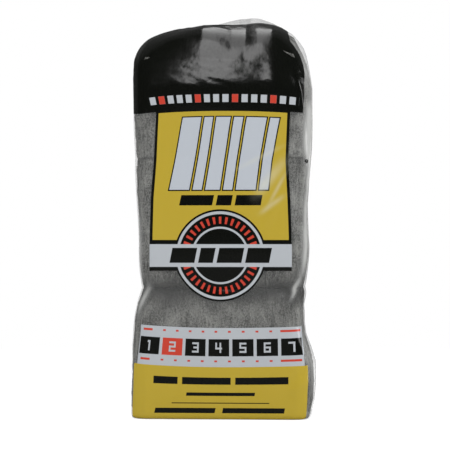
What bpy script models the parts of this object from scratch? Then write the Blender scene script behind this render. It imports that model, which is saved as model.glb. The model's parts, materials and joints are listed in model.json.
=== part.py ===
"""A sealed pack of steel wool pads: a printed clear film bag around three tiers of folded pads.

The pack stands on its flat end. X runs across the printed front, Y from front to back, Z up, in metres.
The pads are first laid out as a plain square stack with the film a small clearance outside it. One
function, press_pack, then bends film and pads together: it draws in the waist and the creases between
the tiers and rounds the top over, so the pads stay inside the film at every size.
"""
import math

import bmesh
import bpy
from mathutils import Vector

# Steel wool pads: one ribbon of wool folded four layers thick, the folds at the top and the bottom
PAD_LENGTH = 0.094
PAD_HEIGHT = 0.0704
PAD_THICKNESS = 0.0156
LAYER_GAP = 0.0005

# Stack of pads
TIER_NAMES = ("bottom", "middle", "top")
PADS_DEEP = 4
PAD_CLEARANCE = 0.0005
TIER_CLEARANCE = 0.0004

# Film bag
FILM_WALL = 0.0004
FLOOR_CLEARANCE = 0.0003
FRONT_CLEARANCE = 0.0008
SIDE_CLEARANCE = 0.0030
TOP_CLEARANCE = 0.0009
CORNER_RADIUS = 0.0100
BASE_EDGE_RADIUS = 0.0045

# Seals of the film bag
BACK_SEAL_WIDTH = 0.0110
BACK_SEAL_HEIGHT = 0.0007
TOP_SEAL_LENGTH = 0.052
TOP_SEAL_HEIGHT = 0.0070
TOP_SEAL_FOOT = 0.0060
TOP_SEAL_THICKNESS = 0.0018
TOP_SEAL_OFFSET = 0.013

# Vent hole on the front right edge
VENT_DIAMETER = 0.0026
VENT_HEIGHT = 0.1400
VENT_ANGLE = math.radians(-43)

# How the wrapped pack gives: creases between the tiers, a drawn-in waist and a rounded top
CREASE_SHARES = (1.0, 0.1)
CREASE_REACH = 0.022
CREASE_SIDE_DEPTH = 0.0030
CREASE_FRONT_DEPTH = 0.0032
WAIST_DEPTH = 0.0028
WAIST_HEIGHT = 0.095
WAIST_REACH = 0.034
TOP_DROP_FRONT = 0.0150
TOP_DROP_SIDE = 0.0070
DROP_FRONT_POWER = 2.2
DROP_SIDE_POWER = 4
SLACK_SIDE = 0.0010
SLACK_HEIGHT = 0.028
SLACK_REACH = 0.016
SLACK_POWER = 6
PAD_END_POWER = 6

# How far each side of the pack stands out or in, as (share of the bag's height, reach) pairs
LEFT_OUTLINE = (
    (0.00, -0.0004), (0.14, -0.0012), (0.28, -0.0020), (0.56, -0.0024),
    (0.68, -0.0026), (0.77, -0.0022), (0.91, -0.0018), (0.97, -0.0022),
)
RIGHT_OUTLINE = (
    (0.00, -0.0020), (0.05, 0.0000), (0.10, 0.0002), (0.13, 0.0000), (0.17, -0.0022),
    (0.205, -0.0045), (0.24, -0.0050), (0.285, -0.0040), (0.32, -0.0008), (0.44, 0.0000),
    (0.55, -0.0020), (0.61, -0.0020), (0.68, -0.0012), (0.86, -0.0012), (0.91, -0.0026),
    (0.97, -0.0050),
)

# Rise of the domed top, as (share of the half width, rise) pairs, and the height it fades in over
CROWN_OUTLINE = (
    (-0.83, 0.0000), (-0.54, 0.0017), (-0.22, 0.0028), (0.12, 0.0004), (0.28, 0.0003),
    (0.44, 0.0024), (0.61, 0.0034), (0.71, 0.0022), (0.83, 0.0000),
)
CROWN_REACH = 0.024

# Printed fields on the film, as heights on the flat sheet and half widths from its middle
FIELD_YELLOW_TOP = 0.0283
FIELD_SCALE_TOP = 0.0497
FIELD_BAR_BASE = 0.0815
FIELD_BAR_TOP = 0.0950
FIELD_PANEL_TOP = 0.1680
PANEL_SIDE_MARGIN = 0.0024
BADGE_RADIUS = 0.0253
BADGE_HEIGHT = 0.0889

# Faces: columns from the middle of the front to the side of the panel, angles of the rings
# on the rounded edges and corners, rings near a crease as shares of its reach, rings of the gathered top
PANEL_COLUMNS = 3
CORNER_ANGLES = (22.5, 45.0, 67.5)
BASE_RING_ANGLES = (90.0, 45.0, 0.0)
TOP_RING_ANGLES = (0.0, 30.0, 60.0, 90.0)
CREASE_STEPS = (-0.4, -0.18, 0.0, 0.18, 0.4)
GATHER_SHARES = (0.35, 0.7, 1.0)
LEAST_CORNER_SHARE = 0.2
LEAST_SEAL_RISE = 0.1
SEAL_MIDDLE_LIFT = 0.4
LEAST_RING_GAP = 0.003
VENT_FACETS = 12
VENT_CUTTER_WALLS = 8

# Edges sharper than these angles stay sharp
PAD_SMOOTH_ANGLE = math.radians(50)
FILM_SMOOTH_ANGLE = math.radians(35)

# Sizes that follow from the ones above
TIER_PITCH = PAD_HEIGHT + TIER_CLEARANCE
PAD_PITCH = PAD_THICKNESS + PAD_CLEARANCE
STACK_BASE = FILM_WALL + FLOOR_CLEARANCE
STACK_TOP = STACK_BASE + len(TIER_NAMES) * TIER_PITCH - TIER_CLEARANCE
HALF_WIDTH = PAD_LENGTH / 2 + SIDE_CLEARANCE + FILM_WALL
HALF_DEPTH = (PADS_DEEP * PAD_PITCH - PAD_CLEARANCE) / 2 + FRONT_CLEARANCE + FILM_WALL
FILM_TOP = STACK_TOP + TOP_CLEARANCE + FILM_WALL
TOP_EDGE_RADIUS = PAD_THICKNESS / 2 + FRONT_CLEARANCE + FILM_WALL
TOP_TIER_BASE = STACK_TOP - PAD_HEIGHT


def clear_scene():
    """Removes every object that the file opened with."""
    for scene_object in list(bpy.data.objects):
        bpy.data.objects.remove(scene_object)


def make_material(name, colour, roughness, metallic=0.0, alpha=1.0):
    """Makes a plain Principled material."""
    material = bpy.data.materials.new(name)
    material.use_nodes = True
    shader = material.node_tree.nodes["Principled BSDF"]
    shader.inputs["Base Color"].default_value = (*colour, 1.0)
    shader.inputs["Roughness"].default_value = roughness
    shader.inputs["Metallic"].default_value = metallic
    shader.inputs["Alpha"].default_value = alpha
    material.diffuse_color = (*colour, alpha)
    return material


def add_object(name, bm, materials, smooth_angle, parent):
    """Turns a bmesh into a named object with its materials, smooth below the given edge angle."""
    mesh = bpy.data.meshes.new(name)
    bm.to_mesh(mesh)
    bm.free()
    for material in materials:
        mesh.materials.append(material)
    mesh.shade_smooth()
    mesh.set_sharp_from_angle(angle=smooth_angle)
    scene_object = bpy.data.objects.new(name, mesh)
    scene_object.parent = parent
    bpy.context.scene.collection.objects.link(scene_object)
    return scene_object


def close_across(bm, ring, strip):
    """Closes an end with faces that go across it, from its first points to the ones facing them.

    A strip is how many points each of the two facing sides has. What lies between them at the two ends
    of the strip, if anything, becomes one face each.
    """
    turn = (len(ring) - 2 * strip) // 2 + strip
    front = ring[:strip]
    back = ring[turn:turn + strip][::-1]
    faces = [(front[index], front[index + 1], back[index + 1], back[index]) for index in range(strip - 1)]
    faces += [ring[strip - 1:turn + 1], ring[turn + strip - 1:] + ring[:1]]
    for face in faces:
        if len(face) > 2:
            bm.faces.new(face)


def loft(rings):
    """Joins rings of as many points each with faces, and leaves both ends open."""
    bm = bmesh.new()
    loops = [[bm.verts.new(place) for place in ring] for ring in rings]
    count = len(loops[0])
    for near, far in zip(loops, loops[1:]):
        for index in range(count):
            ahead = (index + 1) % count
            bm.faces.new((near[index], near[ahead], far[ahead], far[index]))
    return bm, loops[0], loops[-1]


def crease_share(height):
    """How much of the crease depth acts at a height: whole at a joint between tiers, none far from it."""
    share = 0.0
    for joint, strength in enumerate(CREASE_SHARES, start=1):
        joint_height = STACK_BASE + joint * TIER_PITCH - TIER_CLEARANCE / 2
        nearness = max(0.0, 1.0 - abs(height - joint_height) / CREASE_REACH)
        share += strength * nearness ** 2
    return share


def round_corner(point):
    """Moves a point near an upright corner of the plain square pack onto the rounded corner."""
    beyond_x = max(0.0, abs(point.x) - HALF_WIDTH + CORNER_RADIUS)
    beyond_y = max(0.0, abs(point.y) - HALF_DEPTH + CORNER_RADIUS)
    reach = math.hypot(beyond_x, beyond_y)
    share = max(beyond_x, beyond_y) / reach if reach > 0.0 else 1.0
    x = abs(point.x) - beyond_x * (1.0 - share)
    y = abs(point.y) - beyond_y * (1.0 - share)
    return Vector((math.copysign(x, point.x), math.copysign(y, point.y), point.z))


def read_outline(outline, share):
    """Reads an outline's reach at a share of its length, on straight lines between its pairs."""
    share = min(max(share, outline[0][0]), outline[-1][0])
    for (near, near_reach), (far, far_reach) in zip(outline, outline[1:]):
        if share <= far:
            return near_reach + (far_reach - near_reach) * (share - near) / (far - near)
    return outline[-1][1]


def press_pack(point):
    """Moves a point of the plain pack to its place in the wrapped pack."""
    crease = crease_share(point.z)
    waist = math.exp(-((point.z - WAIST_HEIGHT) / WAIST_REACH) ** 2)
    reach = read_outline(LEFT_OUTLINE if point.x < 0.0 else RIGHT_OUTLINE, point.z / FILM_TOP)
    side = 1.0 + (reach - CREASE_SIDE_DEPTH * crease - WAIST_DEPTH * waist) / HALF_WIDTH
    front = 1.0 - CREASE_FRONT_DEPTH * crease / HALF_DEPTH
    rise = max(0.0, (point.z - TOP_TIER_BASE) / (FILM_TOP - TOP_TIER_BASE))
    drop_front = TOP_DROP_FRONT * abs(point.y / HALF_DEPTH) ** DROP_FRONT_POWER
    drop_side = TOP_DROP_SIDE * abs(point.x / HALF_WIDTH) ** DROP_SIDE_POWER
    drop = (drop_front + drop_side) * min(rise, 1.0) ** 2
    fade = min(max(1.0 - (FILM_TOP - point.z) / CROWN_REACH, 0.0), 1.0)
    crown = read_outline(CROWN_OUTLINE, point.x / HALF_WIDTH) * fade ** 2
    return Vector((point.x * side, point.y * front, point.z - drop + crown))


def slacken_film(point):
    """Lets the film stand off the pads at the lower right, where the bag is loose."""
    nearness = (point.z - SLACK_HEIGHT) / SLACK_REACH
    if point.x > 0.0:
        point.x += SLACK_SIDE * math.exp(-nearness ** 2) * (point.x / HALF_WIDTH) ** SLACK_POWER
    return point


def ribbon_path():
    """Middle line of the folded ribbon, as (place, normal) pairs in the Y-Z plane of one pad.

    The ribbon starts inside, runs up, down, up and down again, and each turn passes round the last one.
    """
    layer = (PAD_THICKNESS - 3 * LAYER_GAP) / 4
    pitch = layer + LAYER_GAP
    top_centre = PAD_HEIGHT / 2 - 1.5 * pitch - layer / 2
    base_centre = -PAD_HEIGHT / 2 + pitch + layer / 2
    tail_end = -PAD_HEIGHT / 2 + layer / 3
    path = []

    def run(y, z_start, z_end, steps, first):
        sense = 1.0 if z_end > z_start else -1.0
        for step in range(first, steps + 1):
            z = z_start + (z_end - z_start) * step / steps
            path.append((Vector((0.0, y, z)), Vector((0.0, sense, 0.0))))

    def turn(y, z, radius, start_angle, steps):
        for step in range(1, steps + 1):
            angle = start_angle + math.pi * step / steps
            normal = Vector((0.0, math.cos(angle), math.sin(angle)))
            path.append((Vector((0.0, y, z)) + radius * normal, normal))

    run(0.5 * pitch, base_centre, top_centre, 3, 0)
    turn(0.0, top_centre, 0.5 * pitch, 0.0, 3)
    run(-0.5 * pitch, top_centre, base_centre, 3, 1)
    turn(0.5 * pitch, base_centre, pitch, math.pi, 5)
    run(1.5 * pitch, base_centre, top_centre, 3, 1)
    turn(0.0, top_centre, 1.5 * pitch, 0.0, 6)
    run(-1.5 * pitch, top_centre, tail_end, 3, 1)
    return path, layer


def ribbon_outline(side):
    """Closed outline of the folded ribbon in the Y-Z plane, its loose end on the given side in Y."""
    path, layer = ribbon_path()
    outer = [place + normal * layer / 2 for place, normal in path]
    inner = [place - normal * layer / 2 for place, normal in path]
    return [Vector((0.0, -side * place.y, place.z)) for place in outer + inner[::-1]]


def pad_section(outline, x):
    """The outline at one place along the pad, drawn in at the folds of the pad's soft ends."""
    along = abs(2 * x / PAD_LENGTH)
    points = []
    for place in outline:
        up = min(1.0, abs(2 * place.z / PAD_HEIGHT))
        softness = TOP_EDGE_RADIUS / 2 * (up * along) ** PAD_END_POWER
        points.append(Vector((x - math.copysign(softness, x), place.y, place.z)))
    return points


def build_pad(name, centre, side, material, parent):
    """Builds one folded pad by lofting its ribbon outline along X; its loose end is on the given side."""
    outline = ribbon_outline(side)
    corner = HALF_WIDTH - CORNER_RADIUS
    end = PAD_LENGTH / 2
    stations = [-end, -(end + corner) / 2, -corner, corner, (end + corner) / 2, end]
    bm, first, last = loft([pad_section(outline, x) for x in stations])
    close_across(bm, first, len(outline) // 2)
    close_across(bm, last, len(outline) // 2)
    for vert in bm.verts:
        vert.co = press_pack(round_corner(vert.co + centre)) - centre
    bmesh.ops.recalc_face_normals(bm, faces=bm.faces)
    pad = add_object(name, bm, [material], PAD_SMOOTH_ANGLE, parent)
    pad.location = centre
    return pad


def build_pads(parent):
    """Builds every pad of every tier, number 1 of each tier at the front."""
    material = make_material("steel_wool", (0.19, 0.19, 0.175), 0.55, metallic=0.6)
    for tier, tier_name in enumerate(TIER_NAMES):
        height = STACK_BASE + tier * TIER_PITCH + PAD_HEIGHT / 2
        for rank in range(PADS_DEEP):
            depth = (rank - (PADS_DEEP - 1) / 2) * PAD_PITCH
            centre = Vector((0.0, depth, height))
            side = 1.0 if depth < 0.0 else -1.0
            build_pad(f"pad_{tier_name}_{rank + 1}", centre, side, material, parent)


def film_plan(inset):
    """Outline of the bag seen from above, drawn in by an inset: (x, y) points, front left corner first."""
    radius = max(CORNER_RADIUS - inset, CORNER_RADIUS * LEAST_CORNER_SHARE)
    reach_x = HALF_WIDTH - inset - radius
    reach_y = HALF_DEPTH - inset - radius
    panel = reach_x - PANEL_SIDE_MARGIN
    seal = BACK_SEAL_WIDTH / 2
    shares = [column / PANEL_COLUMNS for column in range(1, PANEL_COLUMNS + 1)]
    right = sorted([seal, seal + BACK_SEAL_HEIGHT, *(panel * share for share in shares), reach_x])
    across = [-x for x in reversed(right)] + right
    side = [-reach_y / 2, 0.0, reach_y / 2]
    quarter = [math.radians(angle) for angle in CORNER_ANGLES]

    def corner(sign_x, sign_y, start):
        return [(sign_x * reach_x + radius * math.cos(start + angle),
                 sign_y * reach_y + radius * math.sin(start + angle)) for angle in quarter]

    points = [(x, -reach_y - radius) for x in across]
    points += corner(1, -1, math.radians(-90))
    points += [(reach_x + radius, y) for y in (-reach_y, *side, reach_y)]
    points += corner(1, 1, 0.0)
    for x in reversed(across):
        raised = BACK_SEAL_HEIGHT if abs(x) <= seal else 0.0
        points.append((x, reach_y + radius + raised))
    points += corner(-1, 1, math.radians(90))
    points += [(-reach_x - radius, y) for y in (reach_y, *reversed(side), -reach_y)]
    points += corner(-1, -1, math.radians(180))
    return points


def film_rings():
    """Rings of the plain bag from the base up to the start of the top seal, as lists of points."""
    joints = [STACK_BASE + joint * TIER_PITCH for joint in range(1, len(TIER_NAMES))]
    heights = {joint + CREASE_REACH * step for joint in joints for step in CREASE_STEPS}
    heights |= {FIELD_YELLOW_TOP, FIELD_SCALE_TOP, FIELD_BAR_BASE, FIELD_BAR_TOP, FIELD_PANEL_TOP}
    wall_top = FILM_TOP - TOP_EDGE_RADIUS
    heights |= {(FIELD_BAR_TOP + joints[-1]) / 2, (FIELD_PANEL_TOP + wall_top) / 2}
    for share, _ in RIGHT_OUTLINE:
        height = share * FILM_TOP
        if min(abs(height - other) for other in heights) > LEAST_RING_GAP:
            heights.add(height)
    rings = []
    for angle in BASE_RING_ANGLES:
        inset = BASE_EDGE_RADIUS * (1.0 - math.cos(math.radians(angle)))
        height = BASE_EDGE_RADIUS * (1.0 - math.sin(math.radians(angle)))
        rings.append((inset, height))
    rings += [(0.0, height) for height in sorted(heights) if BASE_EDGE_RADIUS < height < wall_top]
    for angle in TOP_RING_ANGLES:
        inset = TOP_EDGE_RADIUS * (1.0 - math.cos(math.radians(angle)))
        rings.append((inset, wall_top + TOP_EDGE_RADIUS * math.sin(math.radians(angle))))
    return [[Vector((x, y, height)) for x, y in film_plan(inset)] for inset, height in rings]


def seal_rings(edge):
    """Rings that gather the top of the bag from its edge into the low standing seal."""
    half_length = TOP_SEAL_LENGTH / 2

    def seal_point(place, thickness, lift):
        along = place.x / HALF_WIDTH
        x = TOP_SEAL_OFFSET + along * half_length
        y = place.y / HALF_DEPTH * thickness / 2
        rise = LEAST_SEAL_RISE + math.cos(math.pi / 2 * along) ** 2
        return Vector((x, y, FILM_TOP + lift * TOP_SEAL_HEIGHT * rise))

    foot = [seal_point(place, TOP_SEAL_FOOT, 0.0) for place in edge]
    middle_thickness = (TOP_SEAL_FOOT + TOP_SEAL_THICKNESS) / 2
    middle = [seal_point(place, middle_thickness, SEAL_MIDDLE_LIFT) for place in edge]
    crest = [seal_point(place, TOP_SEAL_THICKNESS, 1.0) for place in edge]
    rings = [[place.lerp(end, share) for place, end in zip(edge, foot)] for share in GATHER_SHARES]
    return rings + [middle, crest]


def printed_field(place):
    """Index of the material at a place on the flat front: 0 is clear film."""
    if place.y > -HALF_DEPTH + CORNER_RADIUS / 2:
        return 1 if place.z > FIELD_PANEL_TOP and place.y < HALF_DEPTH - CORNER_RADIUS else 0
    panel = HALF_WIDTH - CORNER_RADIUS - PANEL_SIDE_MARGIN
    if place.z > FIELD_PANEL_TOP:
        return 1
    if place.z < FIELD_YELLOW_TOP:
        return 2
    if place.z < FIELD_SCALE_TOP:
        return 3
    if math.hypot(place.x, place.z - BADGE_HEIGHT) < BADGE_RADIUS and place.z > FIELD_BAR_TOP:
        return 1
    if abs(place.x) > panel or place.z < FIELD_BAR_BASE:
        return 1 if math.hypot(place.x, place.z - BADGE_HEIGHT) < BADGE_RADIUS else 0
    return 3 if place.z < FIELD_BAR_TOP else 2


def vent_cutter(parent):
    """A short rod across the film at the front right edge, which cuts the vent hole."""
    edge = Vector((HALF_WIDTH - CORNER_RADIUS, CORNER_RADIUS - HALF_DEPTH, VENT_HEIGHT))
    outward = Vector((math.cos(VENT_ANGLE), math.sin(VENT_ANGLE), 0.0))
    bm = bmesh.new()
    turn = outward.to_track_quat("Z", "Y").to_matrix().to_4x4()
    bmesh.ops.create_cone(bm, cap_ends=True, segments=VENT_FACETS, radius1=VENT_DIAMETER / 2,
                          radius2=VENT_DIAMETER / 2, depth=VENT_CUTTER_WALLS * FILM_WALL, matrix=turn)
    cutter = add_object("vent_cutter", bm, [], PAD_SMOOTH_ANGLE, parent)
    cutter.location = press_pack(edge + outward * (CORNER_RADIUS - FILM_WALL / 2))
    cutter.hide_render = True
    cutter.display_type = "WIRE"
    return cutter


def build_film(parent):
    """Builds the bag: a loft from the flat base to the top seal, given its wall and its vent hole."""
    rings = film_rings()
    rings += seal_rings(rings[-1])
    bm, base, crest = loft(rings)
    bm.faces.new(base)
    close_across(bm, crest, 2 * (PANEL_COLUMNS + 3))
    for face in bm.faces:
        face.material_index = printed_field(face.calc_center_median())
    for vert in bm.verts:
        vert.co = slacken_film(press_pack(vert.co))
    bmesh.ops.recalc_face_normals(bm, faces=bm.faces)
    materials = [
        make_material("clear_film", (0.8, 0.8, 0.78), 0.15, alpha=0.3),
        make_material("black_ink", (0.006, 0.007, 0.006), 0.25),
        make_material("yellow_ink", (0.51, 0.38, 0.05), 0.3),
        make_material("pale_ink", (0.48, 0.51, 0.55), 0.3),
    ]
    film = add_object("film_bag", bm, materials, FILM_SMOOTH_ANGLE, parent)
    wall = film.modifiers.new("wall", "SOLIDIFY")
    wall.thickness = FILM_WALL
    wall.offset = -1.0
    vent = film.modifiers.new("vent", "BOOLEAN")
    vent.operation = "DIFFERENCE"
    vent.solver = "EXACT"
    vent.object = vent_cutter(parent)
    return film


def centre_pack(film, frame):
    """Moves the whole pack so that the middle of its base is the origin."""
    xs = [vert.co.x for vert in film.data.vertices]
    ys = [vert.co.y for vert in film.data.vertices]
    frame.location = (-(min(xs) + max(xs)) / 2, -(min(ys) + max(ys)) / 2, 0.0)


def main():
    """Builds the pack."""
    clear_scene()
    frame = bpy.data.objects.new("pack_frame", None)
    bpy.context.scene.collection.objects.link(frame)
    build_pads(frame)
    film = build_film(frame)
    centre_pack(film, frame)


main()
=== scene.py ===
"""Looks of a pack of steel wool pads: a printed clear film bag around three tiers of folded pads."""
import json
import logging
import math
import random
from dataclasses import dataclass
from enum import Enum
from functools import cached_property

import bmesh
import bpy
import numpy as np
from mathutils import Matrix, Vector, noise

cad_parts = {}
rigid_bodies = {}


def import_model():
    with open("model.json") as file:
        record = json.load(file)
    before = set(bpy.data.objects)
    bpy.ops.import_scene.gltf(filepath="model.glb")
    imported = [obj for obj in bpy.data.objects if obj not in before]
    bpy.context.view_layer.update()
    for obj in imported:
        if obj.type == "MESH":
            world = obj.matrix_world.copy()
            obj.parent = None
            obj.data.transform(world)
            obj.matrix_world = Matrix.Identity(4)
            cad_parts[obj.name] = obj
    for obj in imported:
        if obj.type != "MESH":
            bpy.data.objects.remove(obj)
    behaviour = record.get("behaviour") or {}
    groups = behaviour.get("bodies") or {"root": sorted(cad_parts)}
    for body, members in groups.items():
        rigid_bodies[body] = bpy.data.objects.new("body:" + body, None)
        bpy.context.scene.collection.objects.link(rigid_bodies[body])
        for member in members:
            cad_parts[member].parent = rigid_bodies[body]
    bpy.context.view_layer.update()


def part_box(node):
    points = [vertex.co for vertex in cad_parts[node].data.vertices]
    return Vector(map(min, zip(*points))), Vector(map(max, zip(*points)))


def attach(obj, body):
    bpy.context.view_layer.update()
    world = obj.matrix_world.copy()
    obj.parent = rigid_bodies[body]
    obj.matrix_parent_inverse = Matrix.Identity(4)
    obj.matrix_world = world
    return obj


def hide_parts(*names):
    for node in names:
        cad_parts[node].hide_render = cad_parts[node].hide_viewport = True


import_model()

log = logging.getLogger("wool_pack")

BODY = "root"
TIERS = ("bottom", "middle", "top")
PADS_DEEP = 4
SHEET_MAP = "sheet"
# Point attributes of the film: its painted sheen streaks on the clear film together with the back seal's
# haze, and the painted streaks of light on its print
SHEEN_AND_SEAL = "sheen_and_seal"
GLINT = "glint"
MM = 0.001
# Alpha of the film where it is printed in full
OPAQUE = 0.988
# Middles of the badge and of the vent hole on the sheet, in millimetres
BADGE = (-0.3, 88.9)
VENT = (48.7, 140.0)


class Slot(Enum):
    """The record's material slots."""

    FILM = "printed_film"
    WOOL = "steel_wool"


class Ink(Enum):
    """Inks of the print, each with its linear colour."""

    BLACK = (0.0042, 0.0048, 0.0036)
    YELLOW = (0.50, 0.365, 0.036)
    SILVER = (0.50, 0.535, 0.585)
    PALE = (0.465, 0.492, 0.522)
    RED = (0.58, 0.055, 0.032)
    HAZE = (0.22, 0.225, 0.22)


def deselect_all() -> None:
    """Leaves nothing selected, so that an operator acts on its own object only."""
    for each in bpy.context.view_layer.objects:
        each.select_set(False)


def make_active(piece: bpy.types.Object) -> None:
    """Selects one piece alone and makes it the active one."""
    deselect_all()
    piece.select_set(True)
    bpy.context.view_layer.objects.active = piece


def smooth_step(low: float, high: float, value: np.ndarray) -> np.ndarray:
    """Rises smoothly from 0 to 1.

    Args:
        low: where the rise starts.
        high: where it ends.
        value: the places to read it at.

    Returns:
        The height of the step at each place.
    """
    share = np.clip((value - low) / (high - low), 0.0, 1.0)
    return share * share * (3.0 - 2.0 * share)


def noise_at(points: np.ndarray, size: tuple[float, float, float], seed: float) -> np.ndarray:
    """Smooth noise at many points.

    Args:
        points: an N by 3 array of places in metres.
        size: the size of the noise's lumps along X, Y and Z, in metres.
        seed: moves the pattern, so that layers of noise differ.

    Returns:
        N values, mostly between -1 and 1.
    """
    scaled = points / np.array(size) + seed
    return np.array([noise.noise(Vector(place)) for place in scaled])


def lengths_along(places: np.ndarray) -> np.ndarray:
    """Distance along a line of places, from its start to each of them."""
    return np.concatenate([[0.0], np.cumsum(np.linalg.norm(np.diff(places, axis=0), axis=1))])


@dataclass(frozen=True)
class PackShape:
    """The wrapped pack's form, shared by the film and the pads, in the pack's own axes.

    The pack is laid out plain and square, with its middle at x = 0 and y = 0. The methods round its
    corners, draw in its waist and creases and round its top over, as the construction does.
    """

    pad_length: float = 94.0 * MM
    pad_height: float = 70.4 * MM
    pad_thickness: float = 15.6 * MM
    layer_gap: float = 0.5 * MM
    pad_clearance: float = 0.5 * MM
    tier_clearance: float = 0.4 * MM
    wall: float = 0.4 * MM
    floor_clearance: float = 0.3 * MM
    front_clearance: float = 0.8 * MM
    side_clearance: float = 3.0 * MM
    top_clearance: float = 0.9 * MM
    corner_radius: float = 10.0 * MM
    base_radius: float = 2.6 * MM
    crease_shares: tuple[float, ...] = (1.0, 0.1)
    crease_reach: float = 22.0 * MM
    crease_side: float = 3.0 * MM
    crease_front: float = 1.8 * MM
    waist_depth: float = 2.8 * MM
    waist_height: float = 95.0 * MM
    waist_reach: float = 34.0 * MM
    drop_front: float = 15.0 * MM
    drop_side: float = 7.0 * MM
    slack_side: float = 1.0 * MM
    slack_height: float = 28.0 * MM
    slack_reach: float = 16.0 * MM
    left_outline: tuple[tuple[float, float], ...] = (
        (0.00, -0.0004), (0.14, -0.0012), (0.28, -0.0020), (0.56, -0.0024),
        (0.68, -0.0026), (0.77, -0.0022), (0.91, -0.0018), (0.97, -0.0022))
    right_outline: tuple[tuple[float, float], ...] = (
        (0.00, -0.0020), (0.05, 0.0000), (0.10, 0.0002), (0.13, 0.0000), (0.17, -0.0022),
        (0.205, -0.0045), (0.24, -0.0050), (0.285, -0.0040), (0.32, -0.0008), (0.44, 0.0000),
        (0.55, -0.0020), (0.61, -0.0020), (0.68, -0.0012), (0.86, -0.0012), (0.91, -0.0026),
        (0.97, -0.0048))
    crown_outline: tuple[tuple[float, float], ...] = (
        (-0.83, 0.0000), (-0.54, 0.0017), (-0.22, 0.0028), (0.12, 0.0004), (0.28, 0.0003),
        (0.44, 0.0024), (0.61, 0.0035), (0.71, 0.0033), (0.83, 0.0017), (0.95, 0.0))
    crown_reach: float = 24.0 * MM
    lean_share: float = 0.10
    lean_start: float = 185.0 * MM

    @property
    def tier_pitch(self) -> float:
        """Height from one tier to the next."""
        return self.pad_height + self.tier_clearance

    @property
    def pad_pitch(self) -> float:
        """Depth from one pad to the next."""
        return self.pad_thickness + self.pad_clearance

    @property
    def stack_base(self) -> float:
        """Height of the lowest fold."""
        return self.wall + self.floor_clearance

    @property
    def stack_top(self) -> float:
        """Height of the highest fold."""
        return self.stack_base + len(TIERS) * self.tier_pitch - self.tier_clearance

    @property
    def half_width(self) -> float:
        """From the middle of the bag to its side."""
        return self.pad_length / 2 + self.side_clearance + self.wall

    @property
    def half_depth(self) -> float:
        """From the middle of the bag to its front."""
        stack = PADS_DEEP * self.pad_pitch - self.pad_clearance
        return stack / 2 + self.front_clearance + self.wall

    @property
    def film_top(self) -> float:
        """Height of the bag without its top seal."""
        return self.stack_top + self.top_clearance + self.wall

    @property
    def top_radius(self) -> float:
        """Radius of the bag's top edges."""
        return self.pad_thickness / 2 + self.front_clearance + self.wall

    def crease(self, height: np.ndarray) -> np.ndarray:
        """How much of the crease depth acts at each height."""
        share = np.zeros_like(height)
        for joint, strength in enumerate(self.crease_shares, start=1):
            middle = self.stack_base + joint * self.tier_pitch - self.tier_clearance / 2
            share += strength * np.clip(1.0 - np.abs(height - middle) / self.crease_reach, 0.0, 1.0) ** 2
        return share

    def round_corners(self, points: np.ndarray) -> np.ndarray:
        """Moves points near the upright corners of the plain square pack onto the rounded ones."""
        inner = np.array([self.half_width - self.corner_radius, self.half_depth - self.corner_radius])
        beyond = np.clip(np.abs(points[:, :2]) - inner, 0.0, None)
        reach = np.linalg.norm(beyond, axis=1)
        share = np.where(reach > 0.0, beyond.max(axis=1) / np.maximum(reach, 1e-9), 1.0)
        moved = points.copy()
        flat = np.abs(points[:, :2]) - beyond * (1.0 - share)[:, None]
        moved[:, :2] = np.copysign(flat, points[:, :2])
        return moved

    def press(self, points: np.ndarray) -> np.ndarray:
        """Moves points of the plain pack to their places in the wrapped pack."""
        x, y, z = points.T
        crease = self.crease(z)
        waist = np.exp(-((z - self.waist_height) / self.waist_reach) ** 2)
        side = 1.0 - (self.crease_side * crease + self.waist_depth * waist) / self.half_width
        front = 1.0 - self.crease_front * crease / self.half_depth
        front -= self.lean_share * smooth_step(self.lean_start, self.film_top, z)
        left = np.interp(z / self.film_top, *np.array(self.left_outline).T)
        right = np.interp(z / self.film_top, *np.array(self.right_outline).T)
        side += np.where(x < 0.0, left, right) / self.half_width
        base = self.stack_top - self.pad_height
        rise = np.clip((z - base) / (self.film_top - base), 0.0, 1.0)
        drop_front = self.drop_front * np.abs(y / self.half_depth) ** 2.2
        drop_side = self.drop_side * np.abs(x / self.half_width) ** 4
        fade = np.clip(1.0 - (self.film_top - z) / self.crown_reach, 0.0, 1.0)
        crown = np.interp(x / self.half_width, *np.array(self.crown_outline).T) * fade ** 2
        return np.stack([x * side, y * front, z - (drop_front + drop_side) * rise ** 2 + crown], axis=1)

    def slacken(self, points: np.ndarray) -> np.ndarray:
        """Lets the film stand off the pads at the lower right, where the bag is loose."""
        nearness = np.exp(-((points[:, 2] - self.slack_height) / self.slack_reach) ** 2)
        reach = np.clip(points[:, 0] / self.half_width, 0.0, None) ** 6
        points[:, 0] += self.slack_side * nearness * reach
        return points

    @cached_property
    def middle(self) -> np.ndarray:
        """Where the middle of the pack's base lies in the frame, read from the film's box."""
        low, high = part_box("film_bag")
        heights = np.linspace(self.base_radius, self.film_top - self.top_radius, 400)
        edge = np.stack([np.full(400, self.half_width), np.zeros(400), heights], axis=1)
        widest = self.slacken(self.press(edge))[:, 0].max()
        return np.array([high[0] - widest, low[1] + self.half_depth, 0.0])

    def settle(self, plain: np.ndarray) -> np.ndarray:
        """Places points of the plain pack in the frame, rounded and pressed as the pack is."""
        return self.press(self.round_corners(plain)) + self.middle


@dataclass(frozen=True)
class PrintField:
    """A rectangle of ink on the flat film, in millimetres from the middle of the front and the base."""

    left: float
    right: float
    base: float
    top: float
    ink: Ink
    lean: float = 0.0
    cover: float = 0.0


@dataclass(frozen=True)
class PrintRing:
    """A disc or a ring of ink on the flat film, in millimetres."""

    across: float
    up: float
    outer: float
    inner: float
    ink: Ink
    cover: float = 0.0


@dataclass(frozen=True)
class PrintRow:
    """A row of equal short marks, in millimetres."""

    left: float
    pitch: float
    count: int
    width: float
    base: float
    top: float
    ink: Ink
    cover: float = 0.0


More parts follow.
